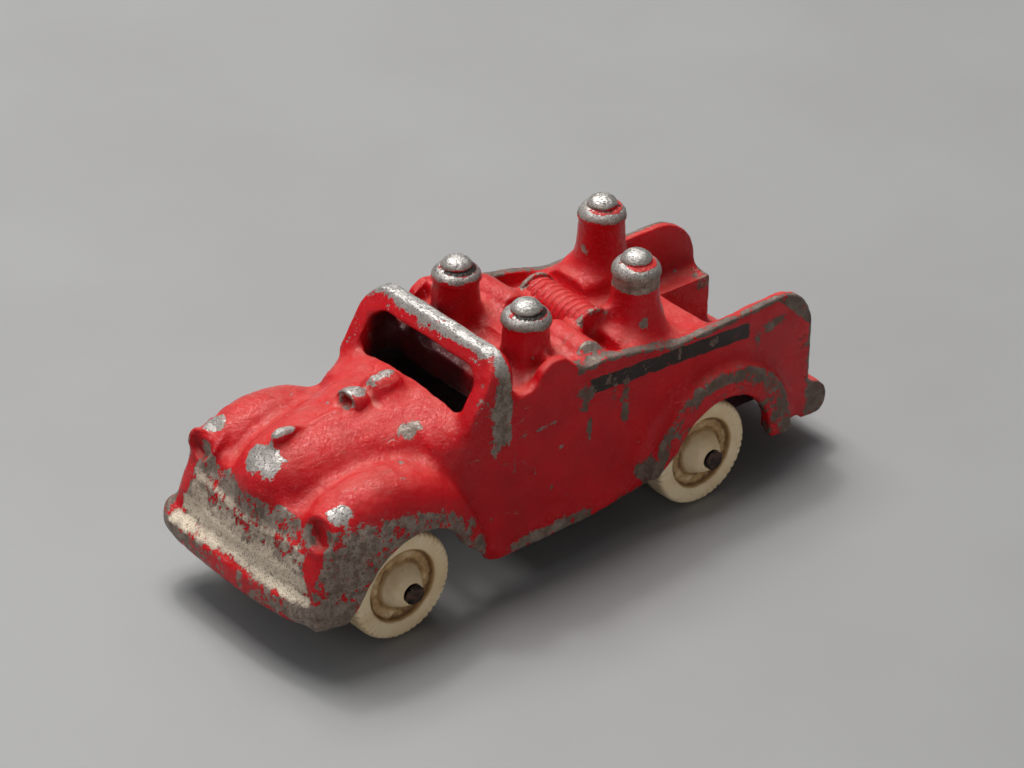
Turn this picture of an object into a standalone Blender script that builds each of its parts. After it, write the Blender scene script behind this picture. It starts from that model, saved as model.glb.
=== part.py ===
"""Cast-metal toy fire engine: one hollow casting with its crew, two steel axles, four rubber wheels.

+X is the front, +Y the left side, +Z up. The origin is on the ground, under the middle of the toy.
Lengths below are millimetres and are scaled to metres where a mesh is made.
"""

import math

import bmesh
import bpy

MM = 0.001

# Running gear
WHEEL_RADIUS = 9.5
WHEEL_OUTER_Y = 18.2
WHEEL_WIDTH = 5.8
HUB_RECESS_RADIUS = 6.2
AXLE_RADIUS = 1.2
AXLE_END_Y = 21.3
AXLE_HEAD_RADIUS = 1.8
AXLE_HEAD_LENGTH = 0.6
RUNNING_GAP = 0.3
FRONT_AXLE_X = 36.9
REAR_AXLE_X = -26.5

# Casting
FRONT_X = 57.6
TAIL_X = -57.6
REAR_EDGE_X = -52.8
WALL = 2.0
CAB_HALF_WIDTH = 17.1
TAIL_HALF_WIDTH = 15.8
TAPER_START_X = 1.4
FENDER_INNER_Y = 8.2
FENDER_LOW_Z = 8.4
RAIL_Z = 32.2
DECK_Z = 30.8
LOCKER_TOP_Z = 21.9
BAY_FLOOR_Z = 11.4
BAY_HALF_WIDTH = 9.6
BAY_FRONT_X = -31.0
CAB_FRONT_X = 22.0
SEAT_FRONT_X = 13.5
SEAT_TOP_Z = 33.6
SCREEN_TOP_Z = 42.7
HELMET_HEIGHT = 3.4
HELMET_TOP_FRONT_Z = 46.0
HELMET_TOP_REAR_Z = 47.0
BELOW = -4.0
ABOVE = 60.0

# Wheel openings in the side of the casting
FRONT_ARCH_X = 35.6
FRONT_ARCH_Z = 9.4
FRONT_ARCH_RADIUS = 10.8
REAR_ARCH_X = -30.3
REAR_ARCH_Z = 8.0
REAR_ARCH_RADIUS = 10.9
FLANGE_WIDTH = 5.1
FLANGE_FLARE = 1.9
FLANGE_ROOT_Y = 14.0
FLANGE_OUTER_Y = 19.0
FLANGE_TAPER = 0.02
FLANGE_SKIN = 2.4
FLANGE_LIFT = math.radians(4)
FLANGE_REAR_DROP = -1.6
WHEEL_CLEARANCE = 1.0
FACE_CLEARANCE = 0.35
ARCH_INNER_Y = 11.2
ARCH_OUTER_Y = 26.0

# Small castings on the front
HEADLIGHT_X = 50.3
HEADLIGHT_Y = 15.2
HEADLIGHT_Z = 23.6
SIREN_X = 33.6
SIREN_Z = 32.7
LAMP_X = 27.6
LAMP_Z = 33.4
MASCOT_X = 46.0
MASCOT_Z = 32.2

# Crew, squabs and hose reel
CREW_FRONT_X = 4.9
CREW_LEFT_REAR_X = -18.6
CREW_RIGHT_REAR_X = -26.0
CREW_FRONT_Y = 8.8
CREW_REAR_Y = 8.5
SQUAB_X = -3.9
SQUAB_Z = 34.2
REEL_X = -10.6
REEL_Z = 33.8
REEL_RIBS = 7

# Plates that carry the axles
LUG_HALF_LENGTH = 3.2
LUG_INNER_Y = 8.4
LUG_OUTER_Y = 11.2
LUG_LOW_Z = 6.2


# ---------------------------------------------------------------- mesh making


def new_object(name, bm):
    """A scene object from a bmesh in millimetres."""
    bmesh.ops.recalc_face_normals(bm, faces=bm.faces)
    bmesh.ops.scale(bm, vec=(MM, MM, MM), verts=bm.verts)
    mesh = bpy.data.meshes.new(name)
    bm.to_mesh(mesh)
    bm.free()
    obj = bpy.data.objects.new(name, mesh)
    bpy.context.scene.collection.objects.link(obj)
    return obj


def lofted(name, rings):
    """A closed solid through rings of equal point count."""
    bm = bmesh.new()
    loops = [[bm.verts.new(point) for point in ring] for ring in rings]
    count = len(rings[0])
    for near, far in zip(loops, loops[1:]):
        for i in range(count):
            j = (i + 1) % count
            bm.faces.new((near[i], near[j], far[j], far[i]))
    bm.faces.new(loops[0])
    bm.faces.new(loops[-1])
    return new_object(name, bm)


def slab(name, outline, y_low, y_high):
    """An XZ outline drawn out along Y."""
    rings = [[(x, y, z) for x, z in outline] for y in (y_low, y_high)]
    return lofted(name, rings)


def tapered(obj, y_trim=0.0):
    """Draws the sides in towards the tail, from the cab's half width to the tail's."""
    for vert in obj.data.vertices:
        if abs(vert.co.y) > 1 * MM:
            half = side_half_width(vert.co.x / MM) - y_trim
            vert.co.y = math.copysign(half * MM, vert.co.y)
    return obj


def side_half_width(x):
    """Half the width of the body at x."""
    share = (TAPER_START_X - x) / (TAPER_START_X - REAR_EDGE_X)
    return CAB_HALF_WIDTH + 0.3 + (TAIL_HALF_WIDTH - CAB_HALF_WIDTH - 0.3) * share


def block(name, x_range, y_range, z_range):
    """An upright box."""
    (x0, x1), (z0, z1) = x_range, z_range
    return slab(name, [(x0, z0), (x1, z0), (x1, z1), (x0, z1)], *y_range)


def circle(radius, count, start=0.0, sweep=math.tau):
    """Points round a circle, or along an arc when sweep is less than a turn."""
    steps = count if sweep >= math.tau else count - 1
    return [
        (radius * math.cos(start + sweep * i / steps), radius * math.sin(start + sweep * i / steps))
        for i in range(count)
    ]


def turned(name, centre, profile, axis="z", count=24):
    """A profile of (distance along the axis, radius) turned round that axis through centre."""
    cx, cy, cz = centre
    rings = []
    for along, radius in profile:
        ring = []
        for a, b in circle(radius, count):
            offset = {"x": (along, a, b), "y": (b, along, a), "z": (a, b, along)}[axis]
            ring.append((cx + offset[0], cy + offset[1], cz + offset[2]))
        rings.append(ring)
    return lofted(name, rings)


def bulged(name, centre, radii, rings=8, count=16):
    """An ellipsoid with flat-capped poles."""
    cx, cy, cz = centre
    rx, ry, rz = radii
    levels = []
    for i in range(rings + 1):
        angle = math.radians(-80 + 160 * i / rings)
        spread = math.cos(angle)
        level = [
            (cx + rx * spread * a, cy + ry * spread * b, cz + rz * math.sin(angle))
            for a, b in circle(1.0, count)
        ]
        levels.append(level)
    return lofted(name, levels)


def crowned_ring(x, y_low, y_high, z_low, z_high, crown, power=2.4, count=15):
    """An upright section at x: straight flanks under a rounded top of height crown."""
    middle, half = (y_low + y_high) / 2, (y_high - y_low) / 2
    crown = min(crown, (z_high - z_low) * 0.85)
    ring = [(x, y_high, z_low)]
    for i in range(count):
        angle = math.pi * i / (count - 1)
        across = math.copysign(abs(math.cos(angle)) ** (2 / power), math.cos(angle))
        rise = math.sin(angle) ** (2 / power)
        ring.append((x, middle + half * across, z_high - crown + crown * rise))
    ring.append((x, y_low, z_low))
    return ring


def mirrored(points):
    """The same ring on the right-hand side."""
    return [(x, -y, z) for x, y, z in points]


# ---------------------------------------------------------------- materials


def paint(name, colour, roughness, metallic):
    """A plain Principled material."""
    material = bpy.data.materials.new(name)
    material.use_nodes = True
    shader = material.node_tree.nodes["Principled BSDF"]
    shader.inputs["Base Color"].default_value = (*colour, 1.0)
    shader.inputs["Roughness"].default_value = roughness
    shader.inputs["Metallic"].default_value = metallic
    return material


# ---------------------------------------------------------------- front of the casting

# Hood stations: x, half width, top z, crown height
HOOD_STATIONS = (
    (54.2, 2.4, 25.6, 4.0),
    (53.4, 4.4, 27.4, 6.0),
    (52.0, 6.4, 29.2, 8.0),
    (49.8, 8.0, 30.7, 9.0),
    (46.5, 9.2, 31.8, 9.5),
    (42.0, 10.3, 32.5, 9.5),
    (37.0, 11.3, 32.9, 9.5),
    (32.0, 12.4, 33.3, 9.0),
    (27.0, 13.6, 33.7, 8.5),
    (21.5, 14.8, 33.9, 8.0),
)
HOOD_LOW_Z = 18.0
FENDER_HALF_RUN = 18.5

# Fender stations: x, outer y, top z, crown height
FENDER_STATIONS = (
    (55.6, 17.6, 13.5, 3.0),
    (54.6, 18.5, 17.6, 5.0),
    (53.2, 19.0, 21.4, 7.0),
    (51.2, 19.4, 25.0, 8.5),
    (48.4, 20.0, 27.8, 9.5),
    (45.0, 20.6, 29.3, 9.5),
    (41.0, 20.9, 29.9, 9.5),
    (37.0, 20.9, 29.7, 9.5),
    (33.0, 20.8, 28.8, 9.0),
    (29.0, 20.5, 27.0, 8.5),
    (25.5, 19.9, 24.2, 8.0),
    (22.5, 19.2, 20.0, 7.0),
    (20.2, 18.6, 14.5, 5.0),
    (18.4, 18.0, 8.6, 2.0),
)

# Cowl stations: x, half width, top z
COWL_STATIONS = (
    (13.6, CAB_HALF_WIDTH, 32.8),
    (21.0, CAB_HALF_WIDTH, 33.8),
    (24.5, 16.6, 33.6),
    (28.5, 14.8, 32.8),
)
COWL_CROWN = 7.0

# Halves of the bumper's plan as y, x, from the middle of its face round to each end.
# The right end is cast a little fuller than the left.
BUMPER_MIDDLE = (0.0, FRONT_X)
BUMPER_LEFT_PLAN = ((5.0, 57.5), (10.0, 57.0), (14.6, 56.0), (17.8, 54.2), (19.6, 51.2), (20.0, 48.0))
BUMPER_RIGHT_PLAN = ((5.0, 57.6), (10.0, 57.6), (15.0, 57.5), (18.6, 57.0), (20.7, 55.3), (21.3, 51.5))
BUMPER_DEPTH = 3.6
BUMPER_RIGHT_LIFT = 0.8
BUMPER_LOW_Z = 7.8
BUMPER_TOP_Z = 13.4
GRILLE_HALF_WIDTH = 13.0


def hood(name, inset=0.0, low=HOOD_LOW_Z):
    """The crowned hood and nose, or its hollow when inset."""
    rings = []
    for x, half, top, crown in HOOD_STATIONS:
        if half > inset + 2.0:
            rings.append(crowned_ring(x - inset, inset - half, half - inset, low, top - inset, crown, 2.2))
    return lofted(name, rings)


def fender(name, side, inset=0.0, low=FENDER_LOW_Z):
    """One pontoon fender, or its hollow when inset."""
    rings = []
    for x, outer, top, crown in FENDER_STATIONS:
        if top > low + 6.0 + inset:
            x_here = x + inset * (FRONT_AXLE_X - x) / FENDER_HALF_RUN
            ring = crowned_ring(x_here, FENDER_INNER_Y - inset, outer - inset, low, top - inset, crown)
            rings.append(ring if side > 0 else mirrored(ring))
    return lofted(name, rings)


def cowl(name, inset=0.0, low=FENDER_LOW_Z):
    """The broad cowl between the hood and the windscreen."""
    rings = [
        crowned_ring(x, inset - half, half - inset, low, top - inset, COWL_CROWN, 2.6)
        for x, half, top in COWL_STATIONS
    ]
    return lofted(name, rings)


def bumper():
    """The thick lip that wraps the front, swept along its plan, its right end a little taller."""
    plan = [(x, -y) for y, x in reversed(BUMPER_RIGHT_PLAN)]
    plan += [(x, y) for y, x in (BUMPER_MIDDLE, *BUMPER_LEFT_PLAN)]
    middle_z = (BUMPER_LOW_Z + BUMPER_TOP_Z) / 2
    half_height = (BUMPER_TOP_Z - BUMPER_LOW_Z) / 2
    rings = []
    for i, (x, y) in enumerate(plan):
        ahead, behind = plan[min(i + 1, len(plan) - 1)], plan[max(i - 1, 0)]
        run = (ahead[0] - behind[0], ahead[1] - behind[1])
        length = math.hypot(*run)
        out = (run[1] / length, -run[0] / length)
        ring = []
        lift = BUMPER_RIGHT_LIFT * max(0.0, -y / CAB_HALF_WIDTH) ** 2
        for a, b in circle(1.0, 12):
            inward = BUMPER_DEPTH / 2 * (1 - a)
            ring.append((x - out[0] * inward, y - out[1] * inward, middle_z + half_height * b + lift))
        rings.append(ring)
    return lofted("bumper", rings)


def grille():
    """The sloping grille between the nose and the bumper, bowed in plan."""
    front = ((52.4, 25.6), (54.6, 20.0), (56.3, 14.8), (56.9, 12.0), (56.0, 8.4))
    face = ((46.0, 27.0), *front, (51.0, 8.4), (46.0, 14.0))
    rings = []
    for i in range(9):
        share = -1 + 2 * i / 8
        bow, drop = 1.6 * share**2, 2.4 * share**2
        y = GRILLE_HALF_WIDTH * share
        rings.append([(x - bow, y, z - drop * (z > 20.0)) for x, z in face])
    return lofted("grille", rings)


def headlight(name, side):
    """A round headlight rim on the front of a fender."""
    rim = ((-4.0, 2.6), (0.4, 4.1), (1.2, 3.7), (1.5, 3.0))
    return turned(name, (HEADLIGHT_X, side * HEADLIGHT_Y, HEADLIGHT_Z), rim, axis="x", count=16)


def headlight_recess(name, side):
    """The dish inside a headlight rim."""
    dish = ((0.6, 1.6), (1.3, 2.5), (2.6, 2.9))
    return turned(name, (HEADLIGHT_X, side * HEADLIGHT_Y, HEADLIGHT_Z), dish, axis="x", count=16)


def hood_fittings():
    """The mascot on the nose, then the open siren and the lamp in front of the windscreen."""
    siren_profile = ((-5.2, 2.2), (-4.0, 2.8), (0.6, 2.9))
    lamp_profile = ((-3.6, 2.2), (-2.6, 2.9), (1.4, 2.9), (2.4, 2.1))
    siren = turned("siren", (SIREN_X, 0, SIREN_Z), siren_profile, axis="x", count=16)
    lamp = turned("lamp", (LAMP_X, 0, LAMP_Z), lamp_profile, axis="x", count=16)
    mascot = bulged("mascot", (MASCOT_X, 0, MASCOT_Z), (2.9, 0.9, 1.3), rings=6, count=12)
    return [siren, lamp, mascot]


# ---------------------------------------------------------------- body of the casting


def side_profile():
    """The side view of the body from the sill to the top rail, as an XZ outline."""
    turn = 8.6
    centre = (REAR_EDGE_X + turn, RAIL_Z - turn)
    corner = [(centre[0] + x, centre[1] + z) for x, z in circle(turn, 7, math.pi / 2, math.pi / 2)]
    return (
        [(1.0, 35.3), (-5.6, 35.4), (-13.0, 33.9), (-20.5, RAIL_Z - 0.3), (-37.0, RAIL_Z - 0.2)]
        + corner
        + [(REAR_EDGE_X, 8.0), (-51.0, 6.6), (-44.0, 6.2), (-41.8, 7.2), (-16.0, 7.3), (1.0, 6.1)]
    )


def cab_profile():
    """The side view of the cab from the sill to the door top and the shoulder behind it."""
    return [
        (18.2, 6.0), (18.2, 33.8), (14.6, 34.3), (9.3, 35.2), (8.2, 37.4), (6.0, 38.8),
        (3.2, 38.6), (1.4, 36.6), (-2.0, 35.0), (-2.0, 6.0),
    ]


def sill():
    """The ledge along the foot of both sides, fading out towards the rear wheels."""
    rings = []
    for x, half, low in ((17.9, 18.3, 6.5), (-2.8, 18.2, 6.8), (-13.0, 17.0, 7.6)):
        rings.append([(x, -half, low), (x, half, low), (x, half, 8.9), (x, -half, 8.9)])
    return lofted("sill", rings)


def tail_bumper_profile():
    """The rounded bar across the tail, as an XZ outline."""
    root = REAR_EDGE_X + 1.2
    return [(root, 5.4), (-55.6, 5.2), (-57.1, 6.3), (TAIL_X, 8.0), (-57.2, 9.9), (-55.8, 11.4), (root, 12.4)]


def arch_cut(name, side, outline):
    """A wheel opening cut through one side of the casting."""
    return slab(name, outline, *sorted((side * ARCH_INNER_Y, side * ARCH_OUTER_Y)))


def arch_arc(centre_x, centre_z, radius, first, last):
    """The arc over a wheel, from one angle to the other in degrees."""
    start, sweep = math.radians(first), math.radians(last - first)
    return [(centre_x + a, centre_z + b) for a, b in circle(radius, 16, start, sweep)]


def front_arch(name, side):
    """The front wheel opening: an arc over the wheel, flared at both feet."""
    rear_foot = [(18.2, BELOW), (18.8, 7.2), (21.9, 10.0)]
    front_foot = [(47.3, 10.3), (49.1, 8.6), (49.1, BELOW)]
    arc = arch_arc(FRONT_ARCH_X, FRONT_ARCH_Z, FRONT_ARCH_RADIUS, 158, 24)
    return arch_cut(name, side, rear_foot + arc + front_foot)


def rear_arch(name, side):
    """The rear wheel opening: an arc over the wheel, its front foot flared along the sill."""
    rear_foot = [(-42.0, BELOW), (-41.6, 7.4)]
    front_foot = [(-15.9, 9.2), (-16.3, BELOW)]
    arc = arch_arc(REAR_ARCH_X, REAR_ARCH_Z, REAR_ARCH_RADIUS, 172, 24)
    return arch_cut(name, side, rear_foot + arc + front_foot)


def wheel_room(name, side, x):
    """The room kept clear round a wheel, inside the skin of the casting."""
    outline = [(x + a, WHEEL_RADIUS + b) for a, b in circle(WHEEL_RADIUS + WHEEL_CLEARANCE, 32)]
    face = WHEEL_OUTER_Y + FACE_CLEARANCE
    return slab(name, outline, *sorted((side * ARCH_INNER_Y, side * face)))


def flange(name, side):
    """The raised band over a rear wheel opening, its outer edge bevelled down to the side."""
    rings = []
    for y, flare in ((FLANGE_ROOT_Y, FLANGE_FLARE), (FLANGE_OUTER_Y, 0.0)):
        radius = REAR_ARCH_RADIUS + FLANGE_WIDTH + flare
        outline = circle(radius, 25, FLANGE_LIFT, math.pi - FLANGE_LIFT) + [(-radius, FLANGE_REAR_DROP)]
        rings.append([(REAR_ARCH_X + a, side * (y + FLANGE_TAPER * a), REAR_ARCH_Z + b) for a, b in outline])
    return lofted(name, rings)


def flange_hollow(name, side):
    """The hollow behind a raised band, which leaves it as a thin skin."""
    outline = [(REAR_ARCH_X + a, REAR_ARCH_Z + b) for a, b in circle(REAR_ARCH_RADIUS + WALL, 24)]
    return slab(name, outline, *sorted((side * FLANGE_ROOT_Y, side * (FLANGE_OUTER_Y - FLANGE_SKIN))))


def windscreen():
    """The thick raked screen frame: a front-view arch inside a side-view wedge."""
    half, top, round_top = CAB_HALF_WIDTH - 0.4, SCREEN_TOP_Z, 5.0
    corner = [(half - round_top + a, top - round_top + b) for a, b in circle(round_top, 6, 0, math.pi / 2)]
    outer = [(half, 30.0)] + corner + [(-y, z) for y, z in reversed(corner)] + [(-half, 30.0)]
    frame = lofted("screen_frame", [[(x, y, z) for y, z in outer] for x in (8.0, 28.0)])
    front_edge, rear_edge = [(23.0, 28.0), (23.0, 32.0), (17.0, 41.9)], [(13.7, 41.4), (14.0, 28.0)]
    side_view = front_edge + [(16.4, top + 0.5), (14.5, top + 0.5)] + rear_edge
    wedge = slab("screen_wedge", side_view, -30.0, 30.0)
    inner_half, inner_top, inner_round = 13.2, 39.5, 2.6
    turn = circle(inner_round, 5, 0, math.pi / 2)
    inner = [(inner_half - inner_round + a, inner_top - inner_round + b) for a, b in turn]
    opening = [(inner_half, 20.0)] + inner + [(-y, z) for y, z in reversed(inner)] + [(-inner_half, 20.0)]
    hole = lofted("screen_opening", [[(x, y, z) for y, z in opening] for x in (6.0, 34.0)])
    boolean(frame, "INTERSECT", wedge)
    boolean(frame, "DIFFERENCE", hole)
    return frame


def axle_lug(name, x, side):
    """A cast plate inside the body that carries an axle."""
    top = 29.5 if x < 0 else 27.0
    across = sorted((side * LUG_INNER_Y, side * LUG_OUTER_Y))
    return block(name, (x - LUG_HALF_LENGTH, x + LUG_HALF_LENGTH), across, (LUG_LOW_Z, top))


# ---------------------------------------------------------------- crew and hose reel


def figure(name, x, y, top_z, base_z, girth):
    """A crew member: round shoulders on a tapering trunk, under a brimmed helmet."""
    neck_z = top_z - HELMET_HEIGHT
    drop = base_z - neck_z
    trunk = ((drop, 1.16), (drop * 0.72, 1.06), (drop * 0.40, 1.0), (-0.9, 0.92))
    brim = ((-0.4, 0.98), (0.1, 1.0), (0.7, 0.93), (1.0, 0.76))
    dome = ((1.8, 0.68), (2.6, 0.54), (3.1, 0.36), (HELMET_HEIGHT, 0.12))
    profile = [(along, share * girth) for along, share in (*trunk, *brim, *dome)]
    return turned(name, (x, y, neck_z), profile, count=20)


def lap(name, x_back, x_front, y, half, z_low, z_high):
    """Thighs and seat in front of a figure, as a low crowned form."""
    rings = []
    for x, share, rise in ((x_back, 1.0, 1.0), ((x_back + x_front) / 2, 0.97, 0.95), (x_front, 0.82, 0.72)):
        top = z_low + (z_high - z_low) * rise
        rings.append(crowned_ring(x, y - half * share, y + half * share, z_low, top, 2.2))
    return lofted(name, rings)


def crew():
    """Two firemen in the cab and two standing on the rear deck."""
    parts = []
    for side, name in ((1, "passenger"), (-1, "driver")):
        parts.append(figure(name, CREW_FRONT_X, side * CREW_FRONT_Y, HELMET_TOP_FRONT_Z, 30.0, 4.1))
        lap_y = side * (CREW_FRONT_Y + 0.1)
        parts.append(lap(name + "_lap", CREW_FRONT_X + 0.1, SEAT_FRONT_X + 0.4, lap_y, 5.4, 31.0, 35.6))
    skirt = ((0.0, 6.2), (3.0, 5.9), (5.4, 5.0), (8.0, 4.3))
    for side, x, top, name in (
        (1, CREW_LEFT_REAR_X, HELMET_TOP_REAR_Z - 0.3, "rear_left"),
        (-1, CREW_RIGHT_REAR_X, HELMET_TOP_REAR_Z, "rear_right"),
    ):
        y = side * CREW_REAR_Y
        parts.append(figure(name, x, y, top, 29.0, 4.2))
        parts.append(lap(name + "_lap", x - 1.2, x + 7.2, y, 5.6, 29.4, 36.0))
        parts.append(turned(name + "_skirt", (x, y, 29.4), skirt, count=20))
    return parts


def steering_wheel():
    """The driver's wheel, a small tilted disc on a stub."""
    rings = []
    for along, radius in ((-0.5, 2.6), (-0.2, 3.0), (0.3, 3.0), (0.6, 2.6)):
        rings.append([
            (13.0 - along * 0.8 + a * 0.6, -8.9 + b, 38.0 + along * 0.6 + a * 0.8)
            for a, b in circle(radius, 14)
        ])
    column = block("steering_column", (11.4, 13.6), (-9.7, -8.1), (32.5, 38.2))
    return [lofted("steering_wheel", rings), column]


def seat_backs():
    """The half-drum squab behind each front seat."""
    drums = []
    for side, name in ((1, "left"), (-1, "right")):
        profile = ((-5.0, 2.6), (-4.6, 3.2), (4.6, 3.2), (5.0, 2.6))
        drums.append(turned(name + "_squab", (SQUAB_X, side * 9.4, SQUAB_Z), profile, axis="y", count=18))
    return drums


def hose_reel():
    """The hose drum lying across the deck, with its ribs of wound hose between two flanges."""
    half = 7.6
    profile = [(-half, 3.9), (-half + 0.9, 3.9)]
    pitch = (2 * half - 1.8) / REEL_RIBS
    for i in range(REEL_RIBS):
        start = -half + 0.9 + pitch * i
        profile += [(start + pitch * 0.12, 3.1), (start + pitch * 0.5, 3.7), (start + pitch * 0.88, 3.1)]
    profile += [(half - 0.9, 3.9), (half, 3.9)]
    return turned("hose_reel", (REEL_X, 0, REEL_Z), profile, axis="y", count=18)


# ---------------------------------------------------------------- putting the casting together


def boolean(target, operation, other):
    """A Boolean modifier with one object or one collection as its other half."""
    modifier = target.modifiers.new(operation.lower(), "BOOLEAN")
    modifier.operation = operation
    modifier.solver = "MANIFOLD"
    if isinstance(other, bpy.types.Collection):
        modifier.operand_type = "COLLECTION"
        modifier.collection = other
    else:
        modifier.object = other
        hide(other)


def hide(obj):
    """Marks a shape that only helps to build another."""
    obj.hide_render = True
    obj.display_type = "WIRE"


def group(name, objects):
    """A collection of helper shapes."""
    collection = bpy.data.collections.new(name)
    bpy.context.scene.collection.children.link(collection)
    for obj in objects:
        bpy.context.scene.collection.objects.unlink(obj)
        collection.objects.link(obj)
        hide(obj)
    return collection


def masses():
    """The outer forms that the casting is built up from."""
    shapes = [
        hood("hood"),
        fender("left_fender", 1),
        fender("right_fender", -1),
        cowl("cowl", low=6.0),
        bumper(),
        grille(),
        slab("cab", cab_profile(), -CAB_HALF_WIDTH, CAB_HALF_WIDTH),
        sill(),
        slab("tail_bumper", tail_bumper_profile(), -15.6, 15.6),
    ]
    for side, name in ((1, "left"), (-1, "right")):
        shapes.append(flange(name + "_flange", side))
    return shapes


def hollows():
    """What the casting is cleared of: the underside, the cab, the rear bay and the wheel openings."""
    cab_inner = CAB_HALF_WIDTH - WALL
    wide = (-cab_inner, cab_inner)
    deck_range, bay_range = (BAY_FRONT_X - 0.5, 1.4), (-70.0, BAY_FRONT_X)
    under_range = (REAR_EDGE_X + WALL, BAY_FRONT_X + 3.0)
    mid_range = (BAY_FRONT_X + WALL, SEAT_FRONT_X + 0.5)
    shapes = [
        hood("hood_hollow", WALL, BELOW),
        fender("left_fender_hollow", 1, WALL, BELOW),
        fender("right_fender_hollow", -1, WALL, BELOW),
        block("cowl_hollow", (SEAT_FRONT_X + 0.2, CAB_FRONT_X + 4.3), (-12.1, 12.1), (BELOW - 1.0, 30.9)),
        block("cab_opening", (SEAT_FRONT_X, CAB_FRONT_X - 0.6), (-13.2, 13.2), (20.0, ABOVE)),
        block("cab_well", (SEAT_FRONT_X, CAB_FRONT_X), (-cab_inner, cab_inner), (BELOW, 32.0)),
        block("seat_space", (1.2, SEAT_FRONT_X + 0.5), (-cab_inner, cab_inner), (SEAT_TOP_Z, ABOVE)),
        tapered(block("mid_underside", mid_range, wide, (BELOW, DECK_Z - WALL)), WALL + 0.4),
        tapered(block("mid_deck", deck_range, wide, (DECK_Z, ABOVE)), WALL),
        tapered(block("rear_top", bay_range, wide, (LOCKER_TOP_Z, ABOVE)), WALL),
        block("rear_bay", bay_range, (-BAY_HALF_WIDTH, BAY_HALF_WIDTH), (BAY_FLOOR_Z, ABOVE)),
        tapered(block("bay_underside", under_range, wide, (BELOW, BAY_FLOOR_Z - WALL)), WALL),
    ]
    for side, name in ((1, "left"), (-1, "right")):
        well = sorted((side * ARCH_INNER_Y, side * 17.0))
        locker = block(name + "_locker_hollow", under_range, well, (BELOW, LOCKER_TOP_Z - WALL))
        for vert in locker.data.vertices:
            if abs(vert.co.y) > 16.0 * MM:
                vert.co.y = side * (side_half_width(vert.co.x / MM) - WALL) * MM
        shapes.append(locker)
        shapes.append(rear_arch(name + "_rear_opening", side))
        shapes.append(flange_hollow(name + "_flange_hollow", side))
        shapes.append(front_arch(name + "_front_opening", side))
        shapes.append(wheel_room(name + "_rear_wheel_room", side, REAR_AXLE_X))
        shapes.append(wheel_room(name + "_front_wheel_room", side, FRONT_AXLE_X))
    return shapes


def fittings():
    """What stands in or on the hollowed casting."""
    shapes = [windscreen(), hose_reel()] + hood_fittings() + crew() + steering_wheel() + seat_backs()
    seat_half = CAB_HALF_WIDTH - 1.0
    shapes.append(block("seat_back", (-1.2, 3.4), (-seat_half, seat_half), (29.4, 35.4)))
    shapes.append(block("reel_bed", (-14.2, -2.0), (-7.2, 7.2), (29.4, 33.6)))
    shapes.append(block("seat", (1.0, SEAT_FRONT_X), (-15.6, 15.6), (31.2, SEAT_TOP_Z + 0.4)))
    for side, name in ((1, "left"), (-1, "right")):
        shapes.append(headlight(name + "_headlight", side))
        for x, end in ((FRONT_AXLE_X, "front"), (REAR_AXLE_X, "rear")):
            shapes.append(axle_lug(name + "_" + end + "_lug", x, side))
    return shapes


def holes():
    """Bores for the axles, the dished headlights and the siren's mouth."""
    mouth = ((-2.0, 1.3), (1.0, 1.9))
    shapes = [turned("siren_mouth", (SIREN_X + 0.8, 0, SIREN_Z + 0.9), mouth, axis="x", count=12)]
    for side, name in ((1, "left"), (-1, "right")):
        shapes.append(headlight_recess(name + "_recess", side))
    for x, end in ((FRONT_AXLE_X, "front"), (REAR_AXLE_X, "rear")):
        bore = ((-15.0, AXLE_RADIUS + RUNNING_GAP), (15.0, AXLE_RADIUS + RUNNING_GAP))
        shapes.append(turned(end + "_bore", (x, 0, WHEEL_RADIUS), bore, axis="y", count=24))
    return shapes


def body_casting():
    """The whole one-piece casting."""
    body = tapered(slab("body_casting", side_profile(), -CAB_HALF_WIDTH, CAB_HALF_WIDTH))
    boolean(body, "UNION", group("masses", masses()))
    boolean(body, "DIFFERENCE", group("hollows", hollows()))
    boolean(body, "UNION", group("fittings", fittings()))
    boolean(body, "DIFFERENCE", group("holes", holes()))
    body.data.materials.append(paint("red_paint_over_cast_metal", (0.55, 0.012, 0.018), 0.42, 0.0))
    return body


# ---------------------------------------------------------------- running gear


def axle(name, x):
    """A steel rod with a flattened head at each end."""
    end = AXLE_END_Y
    start = end - AXLE_HEAD_LENGTH
    profile = (
        (-end, AXLE_HEAD_RADIUS * 0.72),
        (-end + 0.4, AXLE_HEAD_RADIUS),
        (-start, AXLE_HEAD_RADIUS),
        (-start + 0.01, AXLE_RADIUS),
        (start - 0.01, AXLE_RADIUS),
        (start, AXLE_HEAD_RADIUS),
        (end - 0.4, AXLE_HEAD_RADIUS),
        (end, AXLE_HEAD_RADIUS * 0.72),
    )
    rod = turned(name, (0, 0, 0), profile, axis="y", count=24)
    rod.location = (x * MM, 0, WHEEL_RADIUS * MM)
    rod.data.materials.append(paint(name + "_steel", (0.045, 0.03, 0.028), 0.5, 0.8))
    return rod


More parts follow.
